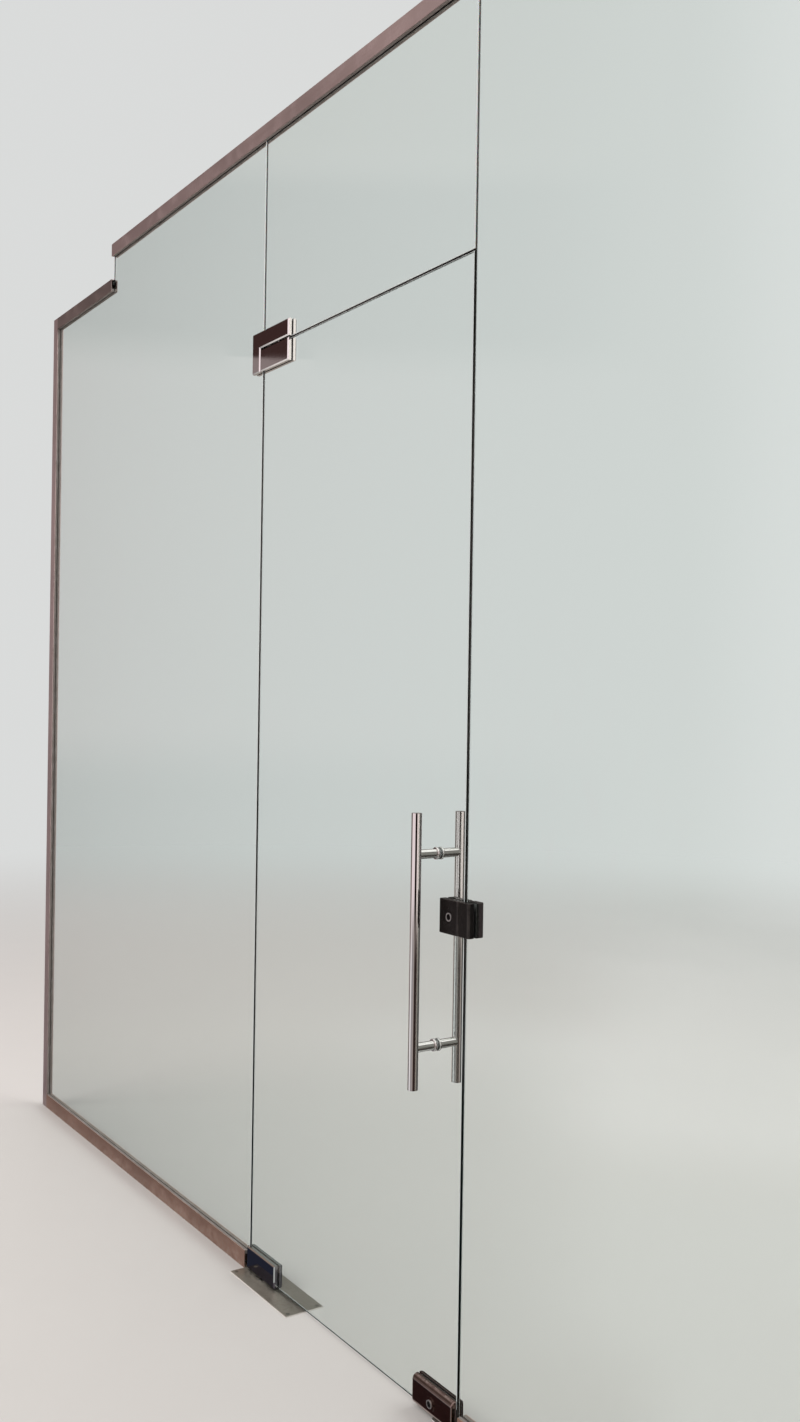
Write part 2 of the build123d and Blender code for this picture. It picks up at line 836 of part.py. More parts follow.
def lock_half(x0, width, face):
    """Half of a lock case on the outside of the glass, with one well rounded edge."""
    with BuildPart() as piece:
        block(x0, x0 + width, -face, -case_back, lock_low, lock_high)
        fillet(piece.edges().filter_by(Axis.Z).group_by(Axis.Y)[0].sort_by(Axis.X)[-1], lock_round)
        rims = piece.faces().filter_by(Axis.Z).edges()
        sharp = rims.filter_by(lambda edge: edge.center().Y < -case_back - lock_edge_r)
        sharp.append(piece.edges().filter_by(Axis.Z).group_by(Axis.Y)[0].sort_by(Axis.X)[0])
        fillet(sharp, lock_edge_r)
    return piece.part


# Lock at hand height, clamped through the leaf by screws from inside
with BuildPart() as lock_outer:
    add(lock_half(lock_edge - lock_width, lock_width, outer_case_face))
    rods([lock_key], key_bore_r, -outer_case_face, -case_back, Mode.SUBTRACT)
    rods(lock_screws, screw_hole_r, screw_reach, -case_back, Mode.SUBTRACT)
finish(lock_outer, "lock_outer_case")

bolt_y0 = case_back + lock_bolt_depth - lock_bolt_t / 2
bolt_y1 = bolt_y0 + lock_bolt_t
bolt_z0 = lock_centre_height + lock_bolt_rise - lock_bolt_height / 2
bolt_z1 = bolt_z0 + lock_bolt_height
bolt_tip = lock_edge - lock_bolt_inset
bolt_tail = bolt_tip - lock_bolt_length
deep_half = lock_half(lock_edge - lock_width, lock_width, inner_case_face)
with BuildPart() as lock_inner:
    mirror(deep_half, about=Plane.XZ)
    rods([lock_key], key_bore_r, case_back, inner_case_face, Mode.SUBTRACT)
    rods(lock_screws, screw_hole_r, case_back, inner_case_face, Mode.SUBTRACT)
    rods(lock_screws, head_r + head_play, screw_seat, inner_case_face, Mode.SUBTRACT)
    block(
        bolt_tail - bolt_play,
        lock_edge,
        bolt_y0 - bolt_play,
        bolt_y1 + bolt_play,
        bolt_z0 - bolt_play,
        bolt_z1 + bolt_play,
        Mode.SUBTRACT,
    )
finish(lock_inner, "lock_inner_case")

with BuildPart() as lock_bolt:
    block(bolt_tail, bolt_tip, bolt_y0, bolt_y1, bolt_z0, bolt_z1)
    chamfer(lock_bolt.faces().sort_by(Axis.X)[-1].edges(), bolt_lead)
finish(lock_bolt, "lock_bolt")

cylinder_front = -outer_case_face - cylinder_proud
finish(key_cylinder(lock_key, cylinder_front, inner_case_face), "lock_cylinder")
turn_face = inner_case_face + turn_play
plug_front = cylinder_front + plug_sink
finish(key_plug(lock_key, plug_front, turn_face, ("outer",)), "lock_plug")

with BuildPart() as thumb_turn:
    rods([lock_key], turn_r, turn_face, turn_face + turn_plate_h)
    grip = box_points(
        lock_key[0] - turn_grip_width / 2,
        lock_key[1] - turn_r + lock_edge_r,
        lock_key[0] + turn_grip_width / 2,
        lock_key[1] + turn_r - lock_edge_r,
    )
    prism(grip, turn_face + turn_plate_h, turn_face + turn_plate_h + turn_grip_h)
    fillet(thumb_turn.faces().sort_by(Axis.Y)[-1].edges(), lock_edge_r)
finish(thumb_turn, "lock_thumb_turn")

# Strike on the edge of the right panel
with BuildPart() as strike_outer:
    add(lock_half(right_joint, strike_width, outer_case_face))
    rods(strike_screws, screw_hole_r, screw_reach, -case_back, Mode.SUBTRACT)
finish(strike_outer, "strike_outer_case")

pocket_end = bolt_tip + lock_bolt_throw + pocket_play
deep_strike_half = lock_half(right_joint, strike_width, inner_case_face)
with BuildPart() as strike_inner:
    mirror(deep_strike_half, about=Plane.XZ)
    rods(strike_screws, screw_hole_r, case_back, inner_case_face, Mode.SUBTRACT)
    rods(strike_screws, head_r + head_play, screw_seat, inner_case_face, Mode.SUBTRACT)
    block(
        right_joint,
        pocket_end,
        bolt_y0 - pocket_play,
        bolt_y1 + pocket_play,
        bolt_z0 - pocket_play,
        bolt_z1 + pocket_play,
        Mode.SUBTRACT,
    )
finish(strike_inner, "strike_inner_case")


def opening_points(points):
    """A core's outline let out by the liner's play."""
    xs = [x for x, z in points]
    zs = [z for x, z in points]
    return box_points(
        min(xs) - liner_play,
        min(zs) - liner_play,
        max(xs) + liner_play,
        max(zs) + liner_play,
    )


# Soft liners between the fittings and the glass
with BuildPart() as fixed_liners:
    liners(pivot_patch, [opening_points(transom_notch)], holes=[([leg_screw], leg_hole_r)])
    liners(strike_case, [], thickness=lock_pad_t, holes=[(strike_screws, glass_screw_r)])
finish(fixed_liners, "fixed_liners")

with BuildPart() as leaf_liners:
    liners(top_patch, [opening_points(top_notch)])
    liners(bottom_patch, [opening_points(bottom_notch)])
    liners(corner_patch, [opening_points(corner_notch)], inset=corner_inset)
    lock_holes = [([lock_key], glass_key_r), (lock_screws, glass_screw_r)]
    liners(lock_case, [], thickness=lock_pad_t, holes=lock_holes)
finish(leaf_liners, "leaf_liners")


def clamp_screws(centres, seat, tip, side):
    """Add socket-head screws that enter from one side of the screen."""
    head_top = seat + side * head_h
    rods(centres, head_r, seat, head_top)
    rods(centres, screw_r, seat, tip)
    with BuildSketch(Plane.XZ.offset(-head_top)) as sockets:
        with Locations(*centres):
            RegularPolygon(socket_r, 6)
    extrude(sockets.sketch, amount=-side * socket_depth, dir=(0, 1, 0), mode=Mode.SUBTRACT)


plate_tip = plate_face - tip_cover - screw_play
lock_tip = screw_reach + screw_play
with BuildPart() as fixed_screws:
    clamp_screws(pivot_screws, plate_seat, plate_tip, -1)
    clamp_screws(strike_screws, screw_seat, lock_tip, 1)
finish(fixed_screws, "fixed_clamp_screws")

with BuildPart() as leaf_screws:
    clamp_screws(top_screws + bottom_screws + corner_screws, plate_seat, plate_tip, -1)
    clamp_screws(lock_screws, screw_seat, lock_tip, 1)
finish(leaf_screws, "leaf_clamp_screws")

# Pull handle: a tube on each side, on posts that clamp through the glass
bar_low = handle_height - bar_length / 2
bar_high = handle_height + bar_length / 2
collar_back = half_t + washer_t
post_back = collar_back + collar_h
for name, side in (("outer_handle_bar", -1), ("inner_handle_bar", 1)):
    with BuildPart() as bar:
        centre = (handle_x, side * bar_offset)
        upright(centre, bar_r, bar_low + cap_t, bar_high - cap_t)
        upright(centre, bar_r - bar_wall, bar_low, bar_high, Mode.SUBTRACT)
    finish(bar, name)

with BuildPart() as end_caps:
    for side in (-1, 1):
        centre = (handle_x, side * bar_offset)
        upright(centre, bar_r, bar_low, bar_low + cap_t)
        upright(centre, bar_r, bar_high - cap_t, bar_high)
        spigot_r = bar_r - bar_wall - cap_play
        upright(centre, spigot_r, bar_low + cap_t, bar_low + cap_t + cap_spigot)
        upright(centre, spigot_r, bar_high - cap_t - cap_spigot, bar_high - cap_t)
finish(end_caps, "handle_end_caps")

stud_end = post_back + stud_reach
with BuildPart() as posts:
    for side in (-1, 1):
        rods(handle_posts_at, post_r, side * post_back, side * bar_offset)
        rods(handle_posts_at, stud_r + stud_play, side * post_back, side * (stud_end + stud_seat), Mode.SUBTRACT)
        saddle_r = bar_r + saddle_play
        upright((handle_x, side * bar_offset), saddle_r, bar_low, bar_high, Mode.SUBTRACT)
finish(posts, "handle_posts")

with BuildPart() as collars:
    for side in (-1, 1):
        rods(handle_posts_at, collar_r, side * collar_back, side * post_back)
    fillet(collars.edges().filter_by(GeomType.CIRCLE), collar_round)
    rods(handle_posts_at, stud_r + stud_play, -post_back, post_back, Mode.SUBTRACT)
finish(collars, "handle_collars")

with BuildPart() as washers:
    for side in (-1, 1):
        rods(handle_posts_at, collar_r - washer_inset, side * half_t, side * collar_back)
    rods(handle_posts_at, stud_r + stud_play, -collar_back, collar_back, Mode.SUBTRACT)
finish(washers, "handle_washers")

with BuildPart() as studs:
    rods(handle_posts_at, stud_r, -stud_end, stud_end)
finish(studs, "handle_studs")
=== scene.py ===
import math

import bpy
from bpy.props import FloatProperty, FloatVectorProperty, PointerProperty
from mathutils import Matrix, Vector

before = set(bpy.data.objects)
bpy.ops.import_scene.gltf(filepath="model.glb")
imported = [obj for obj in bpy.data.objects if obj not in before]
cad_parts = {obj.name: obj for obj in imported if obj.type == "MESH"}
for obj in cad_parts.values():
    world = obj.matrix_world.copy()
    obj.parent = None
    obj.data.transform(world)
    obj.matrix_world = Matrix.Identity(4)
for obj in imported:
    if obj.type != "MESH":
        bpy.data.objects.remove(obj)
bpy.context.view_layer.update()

bl_info = {
    "name": "Glass Entrance Door",
    "version": (1, 0, 0),
    "blender": (4, 5, 0),
    "location": "3D View > Sidebar > Glass Door",
    "description": "Finishes, light and camera for a frameless glass entrance screen with a pivoted leaf",
    "category": "Object",
}

# The camera's place in metres and its turn, tip and roll in degrees
CAMERA_X, CAMERA_Y = 2.5288, -1.3672
CAMERA_TURN, CAMERA_TIP, CAMERA_ROLL = 55.954, -0.142, 0.874
LONG_SIDE_MM = 36.0
CLIP_NEAR, CLIP_FAR = 0.05, 200.0

# The floor's outline, and where in metres from the door it starts to fade into the surround and ends
FLOOR_SIDES = 96
FADE_START, FADE_END = 2.5, 9.0

# Soft lamps: name, place, size, share of the key light's power, tone
LAMP_AIM = (0.0, 0.0, 0.9)
LAMPS = (
    ("key_light", (-1.5, -4.0, 4.2), (3.5, 2.5), 1.0, (1.0, 0.97, 0.95)),
    ("room_light", (1.5, 3.5, 4.2), (4.0, 3.0), 0.7, (0.97, 0.99, 1.0)),
)

# Middles of the places where hands come, in metres
FIXED_GLASS_HANDS = (0.9, 0.0, 1.0)
LEAF_HANDS = (0.62, 0.0, 0.92)
HANDLE_HANDS = (0.66, 0.0, 0.9)
LOCK_HANDS = (0.7, -0.02, 0.918)

# How the marks of a finish are squeezed along x, y and z; they run long where the number is small
COVER_POLISH = (0.05, 1.0, 1.0)
BAR_POLISH = (1.0, 1.0, 0.03)
POST_POLISH = (1.0, 0.04, 1.0)
EVEN_POLISH = (1.0, 1.0, 1.0)
LEVEL_GRAIN = (0.6, 30.0, 30.0)
UPRIGHT_GRAIN = (30.0, 30.0, 0.6)
PLATE_GRAIN = (0.5, 40.0, 40.0)
KEEP_GRAIN = (0.51, 40.0, 40.0)
FOOT_SCRATCHES = (0.3, 0.12, 1.0)

# Colour and roughness of the cast and turned pieces
CASTINGS = {
    "Patch casting": ((0.42, 0.41, 0.40), 0.45),
    "Screw steel": ((0.16, 0.155, 0.15), 0.32),
    "Pivot steel": ((0.50, 0.49, 0.48), 0.22),
    "Bush brass": ((0.60, 0.42, 0.16), 0.28),
    "Plate screws": ((0.24, 0.235, 0.21), 0.3),
    "Closer casting": ((0.22, 0.23, 0.22), 0.5),
    "Tray steel": ((0.40, 0.41, 0.42), 0.38),
    "Plug": ((0.016, 0.014, 0.013), 0.3),
}

# Tones that wear, dirt and hands leave, some of them also painted shade and painted highlight, as noted at
# each
WIPED_GLASS = (0.93, 0.94, 0.93)
# Partly floor dirt and partly painted shade: it dims the corner lock's crown, where a reflected band shows
CROWN_DIRT_AND_SHADE = (0.085, 0.045, 0.037)
# Partly wear and partly painted highlight along the lock cases' edges
LACQUER_WEAR_AND_HIGHLIGHT = (0.125, 0.105, 0.098)
GREASY_LACQUER = (0.10, 0.088, 0.082)
BRIGHT_GRAIN = (0.70, 0.64, 0.62)
CHANNEL_DUST = (0.42, 0.33, 0.28)
PLATE_DUST = (0.27, 0.235, 0.20)
# Painted highlight: light colour on the plate's upright rim, standing in for a lit edge line
PLATE_RIM_HIGHLIGHT = (0.80, 0.74, 0.70)

# The tone that lamps take on through a pane, and the painted reflection of the floor plate: a dark navy
# drawn only where other pieces mirror it
LAMP_THROUGH_GLASS = (0.90, 0.93, 0.92, 1.0)
PLATE_PAINTED_REFLECTION = (0.02, 0.02, 0.033)


# ---------------------------------------------------------------- settings

def colour_setting(name, description, default):
    return FloatVectorProperty(
        name=name, description=description, default=default, size=3, min=0.0, max=4.0, subtype="COLOR")


def share_setting(name, description, default):
    return FloatProperty(
        name=name, description=description, default=default, min=0.0, max=1.0, subtype="FACTOR")


def length_setting(name, description, default):
    return FloatProperty(
        name=name, description=description, default=default, min=0.0, max=50.0,
        subtype="DISTANCE", unit="LENGTH")


class GlassDoorPaneSettings(bpy.types.PropertyGroup):
    face_tint: colour_setting(
        "Face tint", "Colour the glass gives to what stands behind it", (0.925, 0.985, 0.962))
    cut_edge: colour_setting(
        "Cut edge", "Colour of the ground and polished edges of a pane", (0.002, 0.005, 0.004))
    arris: colour_setting(
        "Arris", "Colour of the narrow ground bevel along an edge", (0.95, 0.98, 0.97))
    haze: share_setting("Haze", "How much wiping haze and finger marks the glass carries", 0.35)
    haze_size: length_setting("Haze size", "Width of one cloud of haze", 0.22)


class GlassDoorMetalSettings(bpy.types.PropertyGroup):
    steel: colour_setting(
        "Polished steel", "Colour of the mirror-polished stainless fittings", (0.64, 0.63, 0.615))
    plate: colour_setting("Floor plate", "Colour of the satin closer plate", (0.28, 0.268, 0.232))
    channel: colour_setting("Channel", "Colour of the anodised aluminium channels", (0.61, 0.49, 0.475))
    # Partly the channel's own tone and partly painted reflection: its red cast stands for the red floor
    # mirrored in the channels
    floor_channel: colour_setting(
        "Floor channel", "Colour of the dulled channels on the floor", (0.52, 0.295, 0.200))
    # Painted shade: the soffit channel's darker tone stands for the shadow of the beam above it, not for
    # grime; the profile and finish are the same as the others
    soffit_channel: colour_setting(
        "Soffit channel", "Colour of the grimy channel over the left pane's step", (0.29, 0.23, 0.21))
    channel_worn: colour_setting(
        "Worn channel", "Colour of the channels where they are scuffed", (0.30, 0.22, 0.19))
    lock: colour_setting(
        "Lock", "Colour of the dark cases of the lock at hand height", (0.0055, 0.0042, 0.0038))
    # Painted reflection: the covers are polished steel drawn dark brown so that they mirror their
    # surroundings dark, not a smoky finish
    corner_lock: colour_setting(
        "Corner lock", "Colour of the smoky polished covers of the corner lock", (0.25, 0.195, 0.175))
    wear: share_setting("Wear", "How strongly rubbed and scratched the metal is", 0.5)


class GlassDoorSealSettings(bpy.types.PropertyGroup):
    silicone: colour_setting("Silicone", "Colour of the joints between the fixed panes", (0.86, 0.87, 0.85))
    bead: colour_setting("Bead", "Colour of the grey glazing beads in the channels", (0.22, 0.185, 0.17))
    rubber: colour_setting("Rubber", "Colour of setting blocks, liners and washers", (0.055, 0.052, 0.050))


class GlassDoorStudioSettings(bpy.types.PropertyGroup):
    floor: colour_setting("Floor", "Colour of the plain studio floor", (0.70, 0.655, 0.63))
    backdrop: colour_setting("Backdrop", "Colour of the plain studio surround", (0.70, 0.71, 0.705))
    floor_radius: length_setting("Floor radius", "Distance from the door to the edge of the floor", 40.0)
    key_power: FloatProperty(
        name="Key light", description="Power of the large soft light", default=150.0, min=0.0,
        subtype="POWER", unit="POWER")
    camera_height: length_setting("Camera height", "Height of the camera over the floor", 1.2889)
    lens: FloatProperty(
        name="Lens", description="Focal length on a 36 mm long side", default=32.27, min=1.0, unit="CAMERA")


GROUPS = {
    "glass_door_pane": GlassDoorPaneSettings,
    "glass_door_metal": GlassDoorMetalSettings,
    "glass_door_seal": GlassDoorSealSettings,
    "glass_door_studio": GlassDoorStudioSettings,
}


# ---------------------------------------------------------------- shader tools

def add(tree, kind, inputs=None, **settings):
    """Adds a shader node; inputs maps socket names or numbers to values or to sockets that feed them."""
    node = tree.nodes.new("ShaderNode" + kind)
    for name, value in settings.items():
        setattr(node, name, value)
    for key, value in (inputs or {}).items():
        socket = node.inputs[key]
        if isinstance(value, bpy.types.NodeSocket):
            tree.links.new(value, socket)
        else:
            socket.default_value = value
    return node


def maths(tree, operation, *values, clamp=False):
    return add(tree, "Math", dict(enumerate(values)), operation=operation, use_clamp=clamp).outputs[0]


def times(tree, first, second, clamp=False):
    return maths(tree, "MULTIPLY", first, second, clamp=clamp)


def plus(tree, first, second):
    return maths(tree, "ADD", first, second)


def vector_maths(tree, operation, *values):
    node = add(tree, "VectorMath", dict(enumerate(values)), operation=operation)
    return node.outputs["Value" if operation in ("DOT_PRODUCT", "LENGTH", "DISTANCE") else "Vector"]


def smooth_range(tree, value, low, high, to_low=0.0, to_high=1.0):
    """Passes softly from to_low, where value is low, to to_high, where it is high."""
    ends = {"From Min": low, "From Max": high, "To Min": to_low, "To Max": to_high}
    node = add(tree, "MapRange", {"Value": value, **ends}, interpolation_type="SMOOTHSTEP")
    return node.outputs["Result"]


def mix_colour(tree, share, first, second):
    node = add(tree, "Mix", {0: share}, data_type="RGBA")
    for index, value in ((6, first), (7, second)):
        if isinstance(value, bpy.types.NodeSocket):
            tree.links.new(value, node.inputs[index])
        else:
            node.inputs[index].default_value = (*value, 1.0)
    return node.outputs[2]


def mix_value(tree, share, first, second):
    return add(tree, "Mix", {0: share, 2: first, 3: second}).outputs[0]


def mix_shaders(tree, share, first, second):
    return add(tree, "MixShader", {0: share, 1: first, 2: second}).outputs["Shader"]


def toned(colour, factor):
    """A colour made darker or lighter by a factor."""
    return tuple(min(1.0, factor * part) for part in colour)


def place_on(tree, stretch=None):
    """The point on the piece in metres, stretched if asked."""
    point = add(tree, "TexCoord").outputs["Object"]
    return point if stretch is None else vector_maths(tree, "MULTIPLY", point, stretch)


def noise(tree, point, scale, detail=3.0, roughness=0.5):
    look = {"Vector": point, "Scale": scale, "Detail": detail, "Roughness": roughness}
    return add(tree, "TexNoise", look).outputs["Fac"]


def noise_on(tree, scale, detail=3.0, roughness=0.5):
    """Noise over the piece itself, scale being how many waves go into a metre."""
    return noise(tree, place_on(tree), scale, detail, roughness)


def facing(tree):
    """How squarely a face looks along X, Y and Z, either way."""
    turned = vector_maths(tree, "ABSOLUTE", add(tree, "TexCoord").outputs["Normal"])
    return add(tree, "SeparateXYZ", {0: turned}).outputs


def cut_share(tree):
    """One on the cut edges of a pane, nought on its two faces."""
    return smooth_range(tree, facing(tree)["Y"], 0.80, 0.95, to_low=1.0, to_high=0.0)


def mirrored(tree):
    """One where a ray has been reflected on its way, even through glass, otherwise nought."""
    return maths(tree, "GREATER_THAN", add(tree, "LightPath").outputs["Glossy Depth"], 0.5)


def new_group(name, inputs, outputs):
    """A shader node group with named inputs (name, kind, default) and outputs (name, kind)."""
    group = bpy.data.node_groups.new(name, "ShaderNodeTree")
    for socket_name, kind, default in inputs:
        socket = group.interface.new_socket(socket_name, in_out="INPUT", socket_type="NodeSocket" + kind)
        socket.default_value = default
    for socket_name, kind in outputs:
        group.interface.new_socket(socket_name, in_out="OUTPUT", socket_type="NodeSocket" + kind)
    return group, group.nodes.new("NodeGroupInput").outputs, group.nodes.new("NodeGroupOutput").inputs


def use_group(tree, group, inputs=None):
    """Places a group with its own values and gives its outputs."""
    return add(tree, "Group", inputs, node_tree=group).outputs


def once(make):
    """Keeps what a maker builds, so each node group and material is built a single time."""
    kept = {}

    def give(*keys, **named_keys):
        key = keys, tuple(named_keys.items())
        if key not in kept:
            kept[key] = make(*keys, **named_keys)
        return kept[key]
    return give


@once
def scratches_group():
    """Thin straight rubbing lines on polished metal."""
    group, given, result = new_group(
        "Fine Scratches",
        [("Fineness", "Float", 600.0), ("Stretch", "Vector", (1.0, 1.0, 0.04)), ("Amount", "Float", 0.5)],
        [("Height", "Float"), ("Rubbed", "Float")])
    lines = noise(group, place_on(group, given["Stretch"]), given["Fineness"], detail=2.0, roughness=0.6)
    from_line = maths(group, "ABSOLUTE", maths(group, "SUBTRACT", lines, 0.5))
    thin = smooth_range(group, from_line, 0.0, 0.022, to_low=1.0, to_high=0.0)
    patches = smooth_range(group, noise_on(group, 26.0, detail=2.0), 0.47, 0.62)
    marks = times(group, times(group, thin, patches), given["Amount"])
    group.links.new(times(group, marks, -1.0), result["Height"])
    worn = smooth_range(group, noise_on(group, 9.0, detail=4.0), 0.4, 0.7)
    rubbed = times(group, worn, given["Amount"])
    group.links.new(maths(group, "MAXIMUM", marks, rubbed), result["Rubbed"])
    return group


@once
def grain_group():
    """Close parallel lines of a satin finish."""
    group, given, result = new_group(
        "Satin Grain", [("Stretch", "Vector", (1.0, 60.0, 60.0)), ("Fineness", "Float", 40.0)],
        [("Height", "Float"), ("Streak", "Float")])
    point = place_on(group, given["Stretch"])
    fine = noise(group, point, given["Fineness"], detail=4.0, roughness=0.7)
    broad = noise(group, point, times(group, given["Fineness"], 0.18), detail=2.0)
    group.links.new(fine, result["Height"])
    group.links.new(plus(group, times(group, fine, 0.6), times(group, broad, 0.4)), result["Streak"])
    return group


@once
def dust_group():
    """Dust that settles on upward faces and splashes up from the floor."""
    group, given, result = new_group(
        "Settled Dust", [("Amount", "Float", 0.4), ("Splash Height", "Float", 0.06)], [("Mask", "Float")])
    upward = add(group, "SeparateXYZ", {0: add(group, "TexCoord").outputs["Normal"]}).outputs["Z"]
    height = add(group, "SeparateXYZ", {0: place_on(group)}).outputs["Z"]
    lying = smooth_range(group, upward, 0.6, 0.95)
    splash = smooth_range(group, height, 0.0, given["Splash Height"], to_low=0.75, to_high=0.0)
    clumps = smooth_range(group, noise_on(group, 130.0, detail=6.0, roughness=0.65), 0.36, 0.66)
    mask = times(group, maths(group, "MAXIMUM", lying, splash), clumps)
    group.links.new(times(group, mask, given["Amount"], clamp=True), result["Mask"])
    return group


@once
def finger_marks_group():
    """Greasy smears, thickest round the place where hands come."""
    group, given, result = new_group(
        "Finger Marks",
        [("Centre", "Vector", HANDLE_HANDS), ("Reach", "Float", 0.5), ("Amount", "Float", 0.5)],
        [("Mask", "Float")])
    away = vector_maths(group, "DISTANCE", place_on(group), given["Centre"])
    near = smooth_range(
        group, maths(group, "DIVIDE", away, given["Reach"]), 0.0, 1.0, to_low=1.0, to_high=0.12)
    wobble = add(group, "TexNoise", {"Vector": place_on(group), "Scale": 14.0, "Detail": 2.0})
    shift = vector_maths(group, "MULTIPLY", wobble.outputs["Color"], (0.02, 0.02, 0.02))
    bent = vector_maths(group, "ADD", place_on(group), shift)
    wiped = vector_maths(group, "MULTIPLY", bent, (1.0, 1.0, 0.45))
    smears = smooth_range(group, noise(group, wiped, 30.0, detail=5.0, roughness=0.6), 0.5, 0.72)
    tips = add(group, "TexVoronoi", {"Vector": place_on(group), "Scale": 38.0}).outputs["Distance"]
    pads = smooth_range(group, tips, 0.12, 0.32, to_low=1.0, to_high=0.0)
    spots = times(group, pads, smooth_range(group, noise_on(group, 7.0, detail=1.0), 0.55, 0.65))
    mask = times(group, maths(group, "MAXIMUM", smears, spots), near)
    group.links.new(times(group, mask, given["Amount"], clamp=True), result["Mask"])
    return group


@once
def bevel_group():
    """Picks out the narrow faces between a piece's flat ones, where it is rubbed first and where lighter
    colour is painted as an edge highlight.
    """
    group, given, result = new_group("Rubbed Bevel", [("Breakup", "Float", 0.3)], [("Mask", "Float")])
    turned = facing(group)
    flat = maths(group, "MAXIMUM", maths(group, "MAXIMUM", turned["X"], turned["Y"]), turned["Z"])
    bevel = smooth_range(group, flat, 0.90, 0.97, to_low=1.0, to_high=0.0)
    broken = smooth_range(group, noise_on(group, 90.0, detail=4.0), 0.3, 0.6)
    keep = mix_value(group, given["Breakup"], 1.0, broken)
    group.links.new(times(group, bevel, keep), result["Mask"])
    return group


@once
def pane_arris_group():
    """Picks out the ground arris along a pane's cut edges."""
    group, given, result = new_group("Pane Arris", [("Grinding", "Float", 900.0)], [("Mask", "Float")])
    sloped = smooth_range(group, facing(group)["Y"], 0.25, 0.5)
    arris = times(group, cut_share(group), sloped)
    ground = mix_value(group, 0.35, 1.0, noise_on(group, given["Grinding"], detail=2.0))
    group.links.new(times(group, arris, ground), result["Mask"])
    return group


def start_material(name):
    """An empty material with its Principled shader on the output."""
    material = bpy.data.materials.new(name)
    material.use_nodes = True
    tree = material.node_tree
    tree.nodes.clear()
    shader = add(tree, "BsdfPrincipled")
    add(tree, "OutputMaterial", {"Surface": shader.outputs["BSDF"]})
    return material, tree, shader


def show(tree, mixed):
    """Puts a mix of shaders on the output in place of the plain Principled one."""
    tree.links.new(mixed, tree.nodes["Material Output"].inputs["Surface"])


def set_plain(shader, **values):
    """Values that are the same all over, on the shader's own sockets."""
    for name, value in values.items():
        shader.inputs[name.replace("_", " ")].default_value = value


def bump(tree, shader, height, depth, strength=0.5):
    """Relief whose full height is depth, in metres."""
    made = add(tree, "Bump", {"Height": height, "Distance": depth, "Strength": strength})
    tree.links.new(made.outputs["Normal"], shader.inputs["Normal"])


def feed(tree, shader, socket, value):
    tree.links.new(value, shader.inputs[socket])


# ---------------------------------------------------------------- finishes

@once
def toughened_glass(name, hands):
    """Clear toughened glass that lamps shine through, with dark cut edges, ground arrises and some haze."""
    wanted = bpy.context.scene.glass_door_pane
    material, tree, shader = start_material(name)
    set_plain(shader, Transmission_Weight=1.0, IOR=1.5, Metallic=0.0, Specular_IOR_Level=0.5)
    drift = noise(tree, place_on(tree, (1.0, 1.0, 0.6)), 1.0 / wanted.haze_size, detail=5.0, roughness=0.55)
    clouds = smooth_range(tree, drift, 0.45, 0.75)
    touched = {"Centre": hands, "Reach": 0.55, "Amount": wanted.haze}
    marks = use_group(tree, finger_marks_group(), touched)["Mask"]
    haze = plus(tree, times(tree, clouds, 0.25 * wanted.haze), marks)
    feed(tree, shader, "Base Color", mix_colour(tree, haze, wanted.face_tint, WIPED_GLASS))
    feed(tree, shader, "Roughness", times(tree, haze, 0.015))

    edge = add(tree, "BsdfPrincipled")
    set_plain(edge, IOR=1.5, Specular_IOR_Level=0.07)
    arris = use_group(tree, pane_arris_group())["Mask"]
    feed(tree, edge, "Base Color", mix_colour(tree, arris, wanted.cut_edge, wanted.arris))
    feed(tree, edge, "Roughness", mix_value(tree, arris, 0.16, 0.5))

    pane = mix_shaders(tree, cut_share(tree), shader.outputs["BSDF"], edge.outputs["BSDF"])
    clear = add(tree, "BsdfTransparent", {"Color": LAMP_THROUGH_GLASS})
    lamp = add(tree, "LightPath").outputs["Is Shadow Ray"]
    show(tree, mix_shaders(tree, lamp, pane, clear.outputs["BSDF"]))
    return material


@once
def mirror_steel(name, polish, roughness, bevelled=True):
    """Mirror-polished stainless steel with fine scratches, finger marks and bevels drawn lighter as a
    painted edge highlight.
    """
    wanted = bpy.context.scene.glass_door_metal
    material, tree, shader = start_material(name)
    set_plain(shader, Metallic=1.0)
    marks = use_group(tree, finger_marks_group(), {"Amount": 0.45 * wanted.wear, "Reach": 0.9})["Mask"]
    colour = mix_colour(tree, marks, wanted.steel, toned(wanted.steel, 0.86))
    if bevelled:
        # Painted highlight: the bevels get a lighter steel colour
        rubbed = use_group(tree, bevel_group(), {"Breakup": 0.2})["Mask"]
        colour = mix_colour(tree, rubbed, colour, toned(wanted.steel, 1.22))
    feed(tree, shader, "Base Color", colour)
    worn = {"Stretch": polish, "Amount": wanted.wear, "Fineness": 700.0}
    scratched = use_group(tree, scratches_group(), worn)
    rough = plus(tree, times(tree, marks, 0.07), times(tree, scratched["Rubbed"], 0.03))
    feed(tree, shader, "Roughness", plus(tree, rough, roughness))
    bump(tree, shader, scratched["Height"], 0.000004)
    return material


